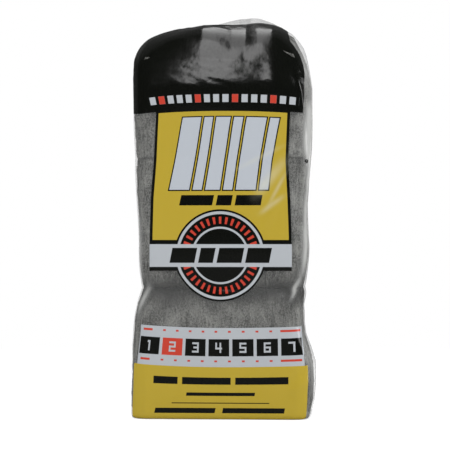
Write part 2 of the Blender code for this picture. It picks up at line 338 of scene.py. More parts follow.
@dataclass(frozen=True)
class PrintTicks:
    """A ring of short radial marks, as on a plain dial, in millimetres."""

    across: float
    up: float
    outer: float
    inner: float
    count: int
    share: float
    ink: Ink
    cover: float = 0.0


PrintShape = PrintField | PrintRing | PrintRow | PrintTicks

# Strokes of the numbers, as shares of a digit's width and height: left, right, base, top
HEAD = (0.0, 1.0, 0.82, 1.0)
WAIST = (0.0, 1.0, 0.41, 0.59)
FOOT = (0.0, 1.0, 0.0, 0.18)
LOWER_RIGHT = (0.76, 1.0, 0.0, 0.5)
DIGIT_STROKES: dict[int, tuple[tuple[float, float, float, float], ...]] = {
    1: ((0.38, 0.62, 0.0, 1.0), (0.2, 0.5, 0.8, 1.0)),
    2: (HEAD, (0.76, 1.0, 0.5, 1.0), WAIST, (0.0, 0.24, 0.0, 0.5), FOOT),
    3: (HEAD, (0.76, 1.0, 0.0, 1.0), (0.2, 1.0, 0.41, 0.59), FOOT),
    4: ((0.0, 0.24, 0.4, 1.0), (0.0, 1.0, 0.34, 0.52), (0.64, 0.88, 0.0, 1.0)),
    5: (HEAD, (0.0, 0.24, 0.5, 1.0), WAIST, LOWER_RIGHT, FOOT),
    6: (HEAD, (0.0, 0.24, 0.0, 1.0), WAIST, LOWER_RIGHT, FOOT),
    7: (HEAD, (0.7, 0.98, 0.0, 1.0)),
}


def scale_boxes() -> list[PrintField]:
    """The row of numbered boxes on the scale at the foot of the front, one of them red."""
    fields = []
    first_left, pitch, gap, base, top = -47.4, 13.45, 1.7, 34.3, 43.6
    digit_width, digit_height, digit_base = 3.8, 5.5, 36.2
    for number, strokes in DIGIT_STROKES.items():
        left = first_left + pitch * (number - 1)
        fields.append(PrintField(left, left + pitch - gap, base, top, Ink.RED if number == 2 else Ink.BLACK))
        start = left + (pitch - gap - digit_width) / 2
        for first, last, low, high in strokes:
            fields.append(PrintField(start + digit_width * first, start + digit_width * last,
                                     digit_base + digit_height * low, digit_base + digit_height * high,
                                     Ink.PALE))
    return fields


def scale_marks() -> list[PrintField | PrintRow]:
    """Small red marks above and below the boxes, with a short bar at each end."""
    marks = []
    for height in (47.6, 31.6):
        marks.append(PrintRow(-34.2, 7.64, 9, 1.6, height - 0.5, height + 0.5, Ink.RED))
        marks.append(PrintField(-46.0, -40.5, height - 0.6, height + 0.6, Ink.RED))
        marks.append(PrintField(33.0, 44.5, height - 0.6, height + 0.6, Ink.RED))
    return marks


def panel_bars() -> list[PrintField]:
    """Tall leaning silver bars with dark outlines, in place of a headline."""
    bars = []
    left, base, top, line, gap, lean = -25.5, 124.5, 163.7, 0.7, 2.0, 0.16
    for width in (11.0, 5.0, 8.0, 5.0, 11.0, 5.0):
        right = left + width
        bars.append(PrintField(left - line, right + line, base - line, top + line, Ink.BLACK, lean))
        bars.append(PrintField(left, right, base, top, Ink.SILVER, lean))
        left = right + gap
    return bars


def word_blocks(base: float, top: float, lean: float, *spans: tuple[float, float]) -> list[PrintField]:
    """A row of plain black blocks, in place of a line of words."""
    return [PrintField(left, right, base, top, Ink.BLACK, lean) for left, right in spans]


# The front's print, each field laid over the ones before it
FRONT_PRINT: tuple[PrintShape, ...] = (
    PrintField(-70.0, 45.2, 168.2, 240.6, Ink.BLACK, cover=OPAQUE),
    PrintField(-38.6, 38.4, 95.0, 168.4, Ink.BLACK, cover=OPAQUE),
    PrintField(-37.0, 36.8, 97.3, 167.4, Ink.YELLOW),
    PrintField(-38.7, 38.5, 80.5, 96.0, Ink.BLACK, cover=OPAQUE),
    PrintRing(*BADGE, 25.0, 0.0, Ink.BLACK, cover=OPAQUE),
    PrintRing(*BADGE, 23.9, 22.4, Ink.PALE),
    PrintTicks(*BADGE, 21.0, 17.2, 36, 0.45, Ink.RED),
    PrintRing(*BADGE, 15.6, 14.5, Ink.PALE),
    PrintField(-38.7, 38.5, 82.7, 95.0, Ink.PALE, cover=OPAQUE),
    *word_blocks(84.9, 93.0, 0.2, (-27.0, -13.5), (-11.5, -3.5), (-1.5, 12.0), (14.0, 27.0)),
    PrintField(-47.9, 45.8, 28.3, 49.7, Ink.PALE, cover=OPAQUE),
    PrintField(-50.5, 47.6, -40.0, 28.5, Ink.YELLOW, cover=OPAQUE),
    *panel_bars(),
    *scale_boxes(),
    *scale_marks(),
    *word_blocks(116.0, 121.6, 0.2, (-22.3, -4.2), (-2.2, 6.2), (8.2, 22.6)),
    PrintRow(-40.6, 5.2, 16, 3.4, 173.2, 178.6, Ink.PALE),
    PrintRow(-35.4, 20.8, 4, 3.4, 173.2, 178.6, Ink.RED),
    PrintField(-175.0, 175.0, 240.6, 250.0, Ink.HAZE, cover=0.45),
    # Painted shade round the vent hole: a black ring, with its middle left clear, stands in for the dark of
    # the hole
    PrintRing(*VENT, 1.15, 0.0, Ink.BLACK, cover=0.9),
    PrintRing(*VENT, 0.45, 0.0, Ink.BLACK, cover=0.001),
    *word_blocks(19.0, 22.8, 0.0, (-37.5, -24.0), (-21.5, 5.5), (8.0, 37.0)),
    *word_blocks(12.9, 14.7, 0.2, (-19.0, 18.7)),
    *word_blocks(8.8, 9.3, 0.0, (-26.9, 26.6)),
    *word_blocks(3.6, 6.4, 0.2, (-36.0, -3.0), (1.0, 34.9)),
)

# Limits of the print's bands up the sheet, in millimetres. Each band has its own material, because one
# material can't hold every field, and draws the fields that come within the lap of it
PRINT_BANDS: tuple[float, ...] = (-45.0, 26.5, 52.0, 109.0, 170.0, 262.0)
BAND_LAP = 3.0


def print_span(ink: PrintShape) -> tuple[float, float]:
    """Lowest and highest place of a field, row or ring of ink."""
    if isinstance(ink, (PrintField, PrintRow)):
        return ink.base, ink.top
    return ink.up - ink.outer, ink.up + ink.outer


class NodeDesk:
    """Adds nodes to one material or node group, with short calls for the usual ones."""

    def __init__(self, tree: bpy.types.NodeTree) -> None:
        """Keeps the tree that nodes are added to."""
        self.tree = tree

    def add(self, kind: str, **settings: object) -> bpy.types.Node:
        """Adds a node and sets its properties."""
        node = self.tree.nodes.new(kind)
        for name, value in settings.items():
            setattr(node, name, value)
        return node

    def put(self, socket: bpy.types.NodeSocket, value: object) -> None:
        """Links an output to a socket, or sets the socket to a plain value."""
        if isinstance(value, bpy.types.NodeSocket):
            self.tree.links.new(value, socket)
        else:
            socket.default_value = value

    def math(self, operation: str, *values: object, clamp: bool = False) -> bpy.types.NodeSocket:
        """Adds a Math node and returns its output."""
        node = self.add("ShaderNodeMath", operation=operation, use_clamp=clamp)
        for socket, value in zip(node.inputs, values):
            self.put(socket, value)
        return node.outputs[0]

    def vector(self, operation: str, *values: object) -> bpy.types.NodeSocket:
        """Adds a Vector Math node and returns its vector, or its number for a length."""
        node = self.add("ShaderNodeVectorMath", operation=operation)
        for socket, value in zip(node.inputs, values):
            self.put(socket, value)
        return node.outputs["Value" if operation == "LENGTH" else "Vector"]

    def mix(self, share: object, below: object, above: object,
            kind: str = "RGBA") -> bpy.types.NodeSocket:
        """Mixes two colours, or two numbers if the kind is FLOAT."""
        node = self.add("ShaderNodeMix", data_type=kind)
        for name, value in (("Factor", share), ("A", below), ("B", above)):
            self.put(node.inputs[name], value)
        return node.outputs["Result"]

    def mix_value(self, share: object, below: object, above: object) -> bpy.types.NodeSocket:
        """Mixes two numbers."""
        return self.mix(share, below, above, kind="FLOAT")

    def mix_shader(self, share: object, below: object, above: object) -> bpy.types.NodeSocket:
        """Mixes two shaders."""
        node = self.add("ShaderNodeMixShader")
        for socket, value in zip(node.inputs, (share, below, above)):
            self.put(socket, value)
        return node.outputs["Shader"]

    def seen_straight(self, path: bpy.types.Node) -> bpy.types.NodeSocket:
        """1 for camera rays and transmission rays, and 0 for the others."""
        return self.math("MAXIMUM", path.outputs["Is Camera Ray"], path.outputs["Is Transmission Ray"])

    def split(self, vector: object) -> bpy.types.NodeOutputs:
        """Splits a vector into its X, Y and Z."""
        node = self.add("ShaderNodeSeparateXYZ")
        self.put(node.inputs[0], vector)
        return node.outputs

    def within(self, value: object, middle: float, half: float) -> bpy.types.NodeSocket:
        """How far inside a span a value lies, and below zero outside it."""
        return self.math("SUBTRACT", half, self.math("ABSOLUTE", self.math("SUBTRACT", value, middle)))

    def edge(self, inside: object) -> bpy.types.NodeSocket:
        """Turns a distance inside an edge, in millimetres, into ink with a hair's soft edge."""
        return self.math("MULTIPLY_ADD", inside, 6.0, 0.5, clamp=True)

    def noise(self, place: object, scale: float, detail: float = 3.0,
              rough: float = 0.5) -> bpy.types.NodeSocket:
        """Adds a Noise Texture and returns its value."""
        node = self.add("ShaderNodeTexNoise")
        self.put(node.inputs["Vector"], place)
        node.inputs["Scale"].default_value = scale
        node.inputs["Detail"].default_value = detail
        node.inputs["Roughness"].default_value = rough
        return node.outputs["Fac"]

    def ramp(self, value: object, *stops: tuple[float, float]) -> bpy.types.NodeSocket:
        """Adds a Color Ramp in greys, given as (place, brightness) pairs."""
        node = self.add("ShaderNodeValToRGB")
        ramp = node.color_ramp
        while len(ramp.elements) < len(stops):
            ramp.elements.new(1.0)
        for element, (place, level) in zip(ramp.elements, stops):
            element.position = place
            element.color = (level, level, level, 1.0)
        self.put(node.inputs["Fac"], value)
        return node.outputs["Color"]

    def bump(self, height: object, strength: float, distance: float) -> bpy.types.NodeSocket:
        """Adds a Bump node over a height."""
        node = self.add("ShaderNodeBump")
        node.inputs["Strength"].default_value = strength
        node.inputs["Distance"].default_value = distance
        self.put(node.inputs["Height"], height)
        return node.outputs["Normal"]


def new_finish(name: str) -> tuple[bpy.types.Material, NodeDesk, bpy.types.Node]:
    """Makes a material with nodes.

    Args:
        name: the material's name.

    Returns:
        The material, a desk for its nodes, and its shader.
    """
    material = bpy.data.materials.new(name)
    material.use_nodes = True
    tree = material.node_tree
    return material, NodeDesk(tree), tree.nodes["Principled BSDF"]


def rectangle_group() -> bpy.types.NodeTree:
    """Node group: 1 inside a leaning rectangle on the sheet, and 0 outside."""
    tree = bpy.data.node_groups.new("print_rectangle", "ShaderNodeTree")
    for name, kind in (("Place", "NodeSocketVector"), ("Middle", "NodeSocketVector"),
                       ("Half", "NodeSocketVector"), ("Lean", "NodeSocketFloat")):
        tree.interface.new_socket(name, in_out="INPUT", socket_type=kind)
    tree.interface.new_socket("Inside", in_out="OUTPUT", socket_type="NodeSocketFloat")
    desk = NodeDesk(tree)
    given = desk.add("NodeGroupInput")
    result = desk.add("NodeGroupOutput")
    offset = desk.vector("SUBTRACT", given.outputs["Place"], given.outputs["Middle"])
    spot = desk.split(offset)
    half = desk.split(given.outputs["Half"])
    leaned = desk.math("MULTIPLY", spot["Y"], given.outputs["Lean"])
    across = desk.math("ABSOLUTE", desk.math("SUBTRACT", spot["X"], leaned))
    up = desk.math("ABSOLUTE", spot["Y"])
    inside = desk.math("MINIMUM", desk.math("SUBTRACT", half["X"], across),
                       desk.math("SUBTRACT", half["Y"], up))
    desk.put(result.inputs["Inside"], desk.edge(inside))
    return tree


@dataclass(frozen=True)
class FilmFinish:
    """Clear glossy film, with the print of the band from its low to its high, if high is above low."""

    name: str
    low: float = 0.0
    high: float = 0.0
    clear_alpha: float = 0.16
    edge_alpha: float = 0.34
    haze: tuple[float, float, float] = (0.4, 0.405, 0.4)
    # Colour and alpha of the painted sheen streaks on the clear film, and of the back seal's haze
    sheen_and_seal: tuple[float, float, float] = (0.64, 0.645, 0.63)
    sheen_and_seal_alpha: float = 0.78
    # Colour of the painted highlights laid over the print
    glint: tuple[float, float, float] = (0.72, 0.70, 0.52)
    crumple: float = 0.06

    @staticmethod
    def field_mask(desk: NodeDesk, group: bpy.types.NodeTree, place: bpy.types.NodeSocket,
                   ink: PrintShape) -> bpy.types.NodeSocket:
        """Adds the nodes for the part of the sheet that one field, row or ring covers.

        Args:
            desk: adds the nodes.
            group: the node group for one rectangle.
            place: the place on the sheet, in millimetres.
            ink: the field, row, ring or ticks.

        Returns:
            1 where the ink lies, and 0 elsewhere.
        """
        if isinstance(ink, (PrintField, PrintRow)):
            up, high = (ink.base + ink.top) / 2, (ink.top - ink.base) / 2
        if isinstance(ink, PrintField):
            node = desk.add("ShaderNodeGroup", node_tree=group)
            desk.put(node.inputs["Place"], place)
            node.inputs["Middle"].default_value = ((ink.left + ink.right) / 2, up, 0.0)
            node.inputs["Half"].default_value = ((ink.right - ink.left) / 2, high, 0.0)
            node.inputs["Lean"].default_value = ink.lean
            return node.outputs["Inside"]
        if isinstance(ink, PrintRow):
            spot = desk.split(place)
            start = desk.math("SUBTRACT", spot["X"], ink.left)
            step = desk.math("MODULO", desk.math("ADD", start, ink.pitch), ink.pitch)
            mark = desk.within(step, ink.width / 2, ink.width / 2)
            row = desk.within(start, ink.pitch * ink.count / 2, ink.pitch * ink.count / 2)
            inside = desk.math("MINIMUM", desk.math("MINIMUM", mark, row), desk.within(spot["Y"], up, high))
            return desk.edge(inside)
        offset = desk.vector("SUBTRACT", place, (ink.across, ink.up, 0.0))
        reach = desk.vector("LENGTH", offset)
        inside = desk.math("SUBTRACT", ink.outer, reach)
        if ink.inner > 0.0:
            inside = desk.math("MINIMUM", inside, desk.math("SUBTRACT", reach, ink.inner))
        ring = desk.edge(inside)
        if isinstance(ink, PrintRing):
            return ring
        spot = desk.split(offset)
        angle = desk.math("ARCTAN2", spot["Y"], spot["X"])
        wave = desk.math("COSINE", desk.math("MULTIPLY", angle, float(ink.count)))
        tick = desk.math("MULTIPLY_ADD", wave, 3.0, -3.0 * math.cos(math.pi * ink.share), clamp=True)
        return desk.math("MULTIPLY", ring, tick)

    def build(self) -> bpy.types.Material:
        """Makes the material.

        Returns:
            A Principled material whose alpha is low where the film is clear.
        """
        material, desk, shader = new_finish(self.name)
        sheet = desk.add("ShaderNodeUVMap", uv_map=SHEET_MAP)
        place = desk.vector("MULTIPLY", sheet.outputs["UV"], (1000.0, 1000.0, 0.0))
        clouds = desk.noise(place, 0.06, 4.0, 0.6)
        alpha = desk.mix_value(clouds, self.clear_alpha * 0.6, self.clear_alpha * 1.4)
        facing = desk.add("ShaderNodeLayerWeight")
        facing.inputs["Blend"].default_value = 0.35
        edge = desk.math("POWER", facing.outputs["Facing"], 2.0)
        alpha = desk.mix_value(edge, alpha, self.edge_alpha)
        # Painted sheen streaks on the clear film, and the back seal's haze: lighter, less clear film
        sheen_and_seal_share = desk.add("ShaderNodeAttribute", attribute_name=SHEEN_AND_SEAL).outputs["Fac"]
        shade = desk.mix(sheen_and_seal_share, (*self.haze, 1.0), (*self.sheen_and_seal, 1.0))
        alpha = desk.mix_value(sheen_and_seal_share, alpha, self.sheen_and_seal_alpha)
        if self.high > self.low:
            group = bpy.data.node_groups.get("print_rectangle") or rectangle_group()
            for ink in FRONT_PRINT:
                base, top = print_span(ink)
                if top < self.low - BAND_LAP or base > self.high + BAND_LAP:
                    continue
                mask = self.field_mask(desk, group, place, ink)
                shade = desk.mix(mask, shade, (*ink.ink.value, 1.0))
                if ink.cover > 0.0:
                    alpha = desk.mix_value(mask, alpha, ink.cover)
        # Painted highlights on the print: the glint streaks lighten its colour
        glint = desk.add("ShaderNodeAttribute", attribute_name=GLINT).outputs["Fac"]
        desk.put(shader.inputs["Base Color"], desk.mix(glint, shade, (*self.glint, 1.0)))
        desk.put(shader.inputs["Alpha"], alpha)
        rough = desk.mix_value(desk.noise(place, 0.25, 3.0), 0.1, 0.22)
        desk.put(shader.inputs["Roughness"], rough)
        crumple = desk.noise(place, 0.35, 3.0, 0.55)
        desk.put(shader.inputs["Normal"], desk.bump(crumple, self.crumple, 0.0006))
        shader.inputs["Specular IOR Level"].default_value = 0.6
        shader.inputs["IOR"].default_value = 1.49
        return material


@dataclass(frozen=True)
class WoolFinish:
    """Very fine steel wool: dull grey fibres brushed along the ribbon."""

    name: str = "steel_wool_fibres"
    dark: tuple[float, float, float] = (0.085, 0.086, 0.079)
    light: tuple[float, float, float] = (0.61, 0.61, 0.577)
    # Painted shade: a band of darker wool about the lower joint between the tiers, where shade falls in the
    # crease
    joint_height: float = 69.8 * MM
    painted_shade_reach: float = 8.0 * MM
    painted_shade_depth: float = 0.95
    painted_shade_colour: tuple[float, float, float] = (0.03, 0.03, 0.028)

    def build(self) -> bpy.types.Material:
        """Makes the material, streaked along the ribbon's own map, with painted shade that darkens it about
        the lower joint between the tiers.
        """
        material, desk, shader = new_finish(self.name)
        strand = desk.add("ShaderNodeUVMap", uv_map=SHEET_MAP)
        place = desk.vector("MULTIPLY", strand.outputs["UV"], (1000.0, 1000.0, 0.0))
        wander = desk.noise(place, 0.12, 2.0)
        bent = desk.add("ShaderNodeVectorMath", operation="MULTIPLY_ADD")
        desk.put(bent.inputs[0], wander)
        bent.inputs[1].default_value = (0.0, 6.0, 0.0)
        desk.put(bent.inputs[2], place)
        fine = desk.noise(desk.vector("MULTIPLY", bent.outputs[0], (0.22, 2.6, 1.0)), 1.0, 4.0, 0.65)
        coarse = desk.noise(desk.vector("MULTIPLY", bent.outputs[0], (0.07, 0.7, 1.0)), 1.0, 3.0, 0.6)
        clouds = desk.noise(place, 0.09, 3.0)
        speckle = desk.noise(place, 0.9, 3.0, 0.7)
        streak = desk.math("MULTIPLY_ADD", coarse, 0.3, desk.math("MULTIPLY", fine, 0.35))
        streak = desk.math("MULTIPLY_ADD", speckle, 0.6, desk.math("SUBTRACT", streak, 0.125))
        level = desk.math("MULTIPLY_ADD", clouds, 0.5, desk.math("SUBTRACT", streak, 0.25))
        spread = desk.ramp(level, (0.38, 0.0), (0.62, 1.0))
        shade = desk.mix(spread, (*self.dark, 1.0), (*self.light, 1.0))
        # Painted shade: darkens the wool in a band about the lower joint, where shade falls in the crease
        # between the tiers
        where = desk.add("ShaderNodeTexCoord").outputs["Object"]
        uneven = desk.math("MULTIPLY_ADD", desk.noise(where, 45.0, 2.0), 0.012, -0.006)
        height = desk.math("SUBTRACT", desk.math("ADD", desk.split(where)["Z"], uneven), self.joint_height)
        share = desk.math("DIVIDE", desk.math("ABSOLUTE", height), self.painted_shade_reach)
        near = desk.math("EXPONENT", desk.math("MULTIPLY", desk.math("POWER", share, 2.0), -1.0))
        shade = desk.mix(desk.math("MULTIPLY", near, self.painted_shade_depth), shade, (*self.painted_shade_colour, 1.0))
        desk.put(shader.inputs["Base Color"], shade)
        shader.inputs["Metallic"].default_value = 0.65
        desk.put(shader.inputs["Roughness"], desk.mix_value(fine, 0.42, 0.62))
        desk.put(shader.inputs["Normal"], desk.bump(streak, 0.9, 0.0006))
        return material


@dataclass
class WoolPad:
    """One folded pad: a ribbon of steel wool folded four layers thick, with loose fibres on it."""

    tier: int
    rank: int
    shape: PackShape
    run_steps: int = 16
    sections: int = 34
    outer_fibres: int = 900
    inner_fibres: int = 200
    joint_bridges: int = 260
    fibre_steps: int = 8
    fibre_radius: float = 0.04 * MM
    fold_square: float = 0.8
    spread: float = 6.0 * MM
    end_round: float = 0.6 * MM
    top_round: float = 6.5 * MM
    piece: bpy.types.Object | None = None

    @property
    def name(self) -> str:
        """The pad's node name."""
        return f"pad_{TIERS[self.tier]}_{self.rank + 1}"

    @property
    def centre(self) -> np.ndarray:
        """The pad's middle in the plain stack."""
        depth = (self.rank - (PADS_DEEP - 1) / 2) * self.shape.pad_pitch
        height = self.shape.stack_base + self.tier * self.shape.tier_pitch + self.shape.pad_height / 2
        return np.array([0.0, depth, height])

    @property
    def outer(self) -> bool:
        """Whether the pad lies at the pack's front or back."""
        return self.rank in (0, PADS_DEEP - 1)

    @property
    def fibres(self) -> int:
        """Number of loose fibres on the pad."""
        return self.outer_fibres if self.outer else self.inner_fibres

    @property
    def bridges(self) -> int:
        """Number of fibres that cross the joint above the pad."""
        return self.joint_bridges if self.outer and self.tier < len(TIERS) - 1 else 0

    def path(self) -> tuple[np.ndarray, np.ndarray, float]:
        """The ribbon's middle line.

        Returns:
            Its (y, z) places, the normals there, and the ribbon's thickness.
        """
        shape = self.shape
        layer = (shape.pad_thickness - 3 * shape.layer_gap) / 4
        pitch = layer + shape.layer_gap
        top = shape.pad_height / 2 - 1.5 * pitch - layer / 2
        base = -shape.pad_height / 2 + pitch + layer / 2
        tail = -shape.pad_height / 2 + layer / 3
        places: list[tuple[float, float]] = []
        normals: list[tuple[float, float]] = []

        def run(y: float, start: float, end: float, first: int) -> None:
            sense = 1.0 if end > start else -1.0
            for step in range(first, self.run_steps + 1):
                places.append((y, start + (end - start) * step / self.run_steps))
                normals.append((sense, 0.0))

        def turn(y: float, z: float, radius: float, start: float, steps: int) -> None:
            for step in range(1, steps + 1):
                angle = start + math.pi * step / steps
                normals.append((math.cos(angle), math.sin(angle)))
                places.append((y + radius * math.cos(angle), z + radius * math.sin(angle)))

        run(0.5 * pitch, base, top, 0)
        turn(0.0, top, 0.5 * pitch, 0.0, 5)
        run(-0.5 * pitch, top, base, 1)
        turn(0.5 * pitch, base, pitch, math.pi, 9)
        run(1.5 * pitch, base, top, 1)
        turn(0.0, top, 1.5 * pitch, 0.0, 12)
        run(-1.5 * pitch, top, tail, 1)
        return np.array(places), np.array(normals), layer

    def settle(self, x: np.ndarray, yz: np.ndarray) -> np.ndarray:
        """Places points of the pad's own section in the frame.

        Args:
            x: distances along the pad.
            yz: (y, z) places in the pad's section.

        Returns:
            The points in the frame, with the pad pressed into the pack.
        """
        side = 1.0 if self.centre[1] < 0.0 else -1.0
        yz = self.square_folds(yz)
        along = np.abs(2 * x / self.shape.pad_length)
        up = np.minimum(1.0, np.abs(2 * yz[:, 1] / self.shape.pad_height))
        x = x * (1.0 + self.spread / self.shape.pad_length)
        topmost = self.tier == len(TIERS) - 1
        round_off = np.where((yz[:, 1] > 0.0) & topmost, self.top_round, self.end_round)
        x = x - np.copysign(round_off * (up * along) ** 6, x)
        plain = np.stack([x, -side * yz[:, 0], yz[:, 1]], axis=1) + self.centre
        plain[:, 2] = np.maximum(plain[:, 2], self.shape.wall)
        return self.shape.settle(plain)

    def settle_plain(self, x: np.ndarray, yz: np.ndarray) -> np.ndarray:
        """Places points beside the pad's outer face, given as for settle, without the pad's own folds."""
        outward = 1.0 if self.centre[1] < 0.0 else -1.0
        plain = np.stack([x, outward * yz[:, 0], yz[:, 1]], axis=1) + self.centre
        return self.shape.settle(plain)

    def square_folds(self, yz: np.ndarray) -> np.ndarray:
        """Presses the round folds nearly square, as the tiers lie packed on each other."""
        radius = self.shape.pad_thickness / 2
        beyond = np.abs(yz[:, 1]) - (self.shape.pad_height / 2 - radius)
        reach = np.maximum(np.hypot(yz[:, 0], beyond), 1e-9)
        largest = np.maximum(np.abs(yz[:, 0]), np.abs(beyond))
        share = 1.0 + self.fold_square * (reach / largest - 1.0) * np.clip(reach / radius, 0.0, 1.0) ** 3
        share = np.where(beyond > 0.0, share, 1.0)
        flat = self.shape.pad_height / 2 - radius + beyond * share + 0.25 * MM * (beyond > 0.0)
        height = np.where(beyond > 0.0, np.copysign(flat, yz[:, 1]), yz[:, 1])
        return np.stack([yz[:, 0] * share, height], axis=1)

    def build_ribbon(self) -> None:
        """Builds the folded ribbon as one closed mesh, with a map of its length and width."""
        places, normals, layer = self.path()
        length = lengths_along(places)
        half = self.shape.pad_length / 2
        crowding = math.pi / 2 * 0.86
        stations = np.sin(np.linspace(-1.0, 1.0, self.sections) * crowding) / math.sin(crowding)
        count = len(places)
        verts: list[np.ndarray] = []
        seed = 7.3 * self.tier + 3.1 * self.rank
        for share in stations:
            x = np.full(count, share * half)
            soft = np.stack([x, places[:, 0], length], axis=1)
            swell = 0.16 * MM * noise_at(soft, (9 * MM, 6 * MM, 11 * MM), seed)
            ragged = 0.55 * MM * abs(share) ** 8 * noise_at(soft, (50 * MM, 5 * MM, 4 * MM), seed + 5.0)
            thick = layer / 2 + swell
            for side in (1.0, -1.0):
                surface = places + side * normals * thick[:, None]
                verts.append(self.settle(x + ragged * np.sign(share), surface))
        bm = bmesh.new()
        rows = [[bm.verts.new(co) for co in row] for row in verts]
        uv = bm.loops.layers.uv.new(SHEET_MAP)

        def face(corners: list, spots: list[tuple[float, float]]) -> None:
            made = bm.faces.new(corners)
            for loop, spot in zip(made.loops, spots):
                loop[uv].uv = spot

        for index in range(self.sections - 1):
            near_out, near_in = rows[2 * index], rows[2 * index + 1]
            far_out, far_in = rows[2 * index + 2], rows[2 * index + 3]
            near_x, far_x = stations[index] * half, stations[index + 1] * half
            for step in range(count - 1):
                low, high = length[step], length[step + 1]
                spots = [(low, near_x), (high, near_x), (high, far_x), (low, far_x)]
                face([near_out[step], near_out[step + 1], far_out[step + 1], far_out[step]], spots)
                face([near_in[step], far_in[step], far_in[step + 1], near_in[step + 1]],
                     [spots[0], spots[3], spots[2], spots[1]])
            for step, flip in ((0, False), (count - 1, True)):
                corners = [near_out[step], far_out[step], far_in[step], near_in[step]]
                low = length[step]
                spots = [(low, near_x), (low, far_x), (low + layer, far_x), (low + layer, near_x)]
                face(corners[::-1] if flip else corners, spots[::-1] if flip else spots)
        for ring_out, ring_in, x in ((rows[0], rows[1], -half), (rows[-2], rows[-1], half)):
            for step in range(count - 1):
                low, high = length[step], length[step + 1]
                corners = [ring_out[step], ring_in[step], ring_in[step + 1], ring_out[step + 1]]
                face(corners, [(low, x), (low, x + layer), (high, x + layer), (high, x)])
        bmesh.ops.recalc_face_normals(bm, faces=bm.faces)
        mesh = bpy.data.meshes.new(self.name + "_wool")
        bm.to_mesh(mesh)
        bm.free()
        mesh.shade_smooth()
        self.piece = bpy.data.objects.new(self.name + "_wool", mesh)
        bpy.context.scene.collection.objects.link(self.piece)

    @staticmethod
    def add_strand(curve: bpy.types.Curve, draw: random.Random, points: np.ndarray) -> None:
        """Adds one fibre through the points, uneven in thickness."""
        spline = curve.splines.new("POLY")
        spline.points.add(len(points) - 1)
        for point, place in zip(spline.points, points):
            point.co = (*place, 1.0)
            point.radius = draw.uniform(0.7, 1.3)

    def build_fibres(self) -> bpy.types.Object:
        """Builds the loose fibres on the ribbon's outer face, at its two ends and across its joint."""
        draw = random.Random(100 * self.tier + self.rank)
        places, normals, layer = self.path()
        length = lengths_along(places)
        total = length[-1]
        outer_start = total - 2 * self.shape.pad_height - 3 * self.shape.pad_thickness / 2
        half = self.shape.pad_length / 2
        curve = bpy.data.curves.new(self.name + "_fibres", "CURVE")
        curve.dimensions = "3D"
        curve.bevel_depth = self.fibre_radius
        curve.bevel_resolution = 0
        for index in range(self.fibres):
            share = np.linspace(0.0, 1.0, self.fibre_steps)
            if index % 4:
                reach = draw.uniform(8 * MM, 34 * MM)
                start = draw.uniform(outer_start, total - reach)
                lean = draw.gauss(0.0, 0.16)
                sway = draw.gauss(0.0, 0.9 * MM)
                turn = draw.uniform(0.0, math.tau)
                x = draw.uniform(-half, half) + reach * share * lean
                x = x + sway * np.sin(turn + share * draw.uniform(2.0, 6.0))
                x = np.clip(x, -half * 0.995, half * 0.995)
                along = start + reach * share
                lift = layer / 2 + draw.uniform(0.12, 0.42) * MM * np.sin(share * math.pi) ** 0.5 + 0.04 * MM
            else:
                side = 1.0 if draw.random() < 0.5 else -1.0
                along = draw.uniform(0.0, total) + draw.gauss(0.0, 2.2 * MM) * share
                along = along + 0.8 * MM * np.sin(share * 7.0)
                out = draw.uniform(0.2 * MM, 0.75 * MM)
                x = side * (half - 0.5 * MM + out * np.sin(share * draw.uniform(1.2, 2.9)))
                lift = draw.uniform(-layer / 2, layer / 2)
                lift = lift + 0.5 * MM * np.sin(draw.uniform(0, 6) + share * 4.0)
            along = np.clip(along, 0.0, total)
            middle = np.stack([np.interp(along, length, places[:, axis]) for axis in (0, 1)], axis=1)
            normal = np.stack([np.interp(along, length, normals[:, axis]) for axis in (0, 1)], axis=1)
            self.add_strand(curve, draw, self.settle(x, middle + normal * lift[:, None]))
        for _ in range(self.bridges):
            share = np.linspace(-0.5, 0.5, self.fibre_steps)
            reach = draw.uniform(6 * MM, 22 * MM)
            x = draw.uniform(-half, half) + reach * share * draw.gauss(0.0, 0.2)
            x = np.clip(x + draw.gauss(0.0, 0.6 * MM) * np.sin(share * 9.0), -half * 0.99, half * 0.99)
            lift = self.shape.pad_thickness / 2 + draw.uniform(0.0, 0.35) * MM
            up = self.shape.pad_height / 2 + reach * share + draw.gauss(0.0, 1.5 * MM)
            beside = np.stack([np.full(self.fibre_steps, -lift), up], axis=1)
            self.add_strand(curve, draw, self.settle_plain(x, beside))
        strands = bpy.data.objects.new(curve.name, curve)
        bpy.context.scene.collection.objects.link(strands)
        make_active(strands)
        bpy.ops.object.convert(target="MESH")
        strands = bpy.context.view_layer.objects.active
        layer_map = strands.data.uv_layers.new(name=SHEET_MAP)
        spots = np.array([strands.data.vertices[loop.vertex_index].co for loop in strands.data.loops])
        layer_map.data.foreach_set("uv", spots[:, [2, 0]].ravel())
        return strands

    def dress(self, finish: bpy.types.Material) -> None:
        """Joins fibres to ribbon, and ties the pad to its node."""
        strands = self.build_fibres()
        deselect_all()
        strands.select_set(True)
        self.piece.select_set(True)
        bpy.context.view_layer.objects.active = self.piece
        bpy.ops.object.join()
        self.piece.data.materials.clear()
        self.piece.data.materials.append(finish)
        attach(self.piece, BODY)
        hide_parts(self.name)


@dataclass(frozen=True)
class Fold:
    """A soft ridge or groove in the film between two places on the sheet, in millimetres."""

    start: tuple[float, float]
    end: tuple[float, float]
    width: float
    height: float

    def rise(self, along: np.ndarray, up: np.ndarray) -> np.ndarray:
        """Height of the fold at places on the sheet, fading out at its two ends."""
        start = np.array(self.start) * MM
        way = np.array(self.end) * MM - start
        spot = np.stack([along, up], axis=1) - start
        share = np.clip(spot @ way / (way @ way), 0.0, 1.0)
        gap = np.linalg.norm(spot - share[:, None] * way, axis=1)
        fade = np.sin(np.clip(share, 0.02, 0.98) * math.pi) ** 0.7
        return self.height * fade * np.exp(-(gap / (self.width * MM)) ** 2)


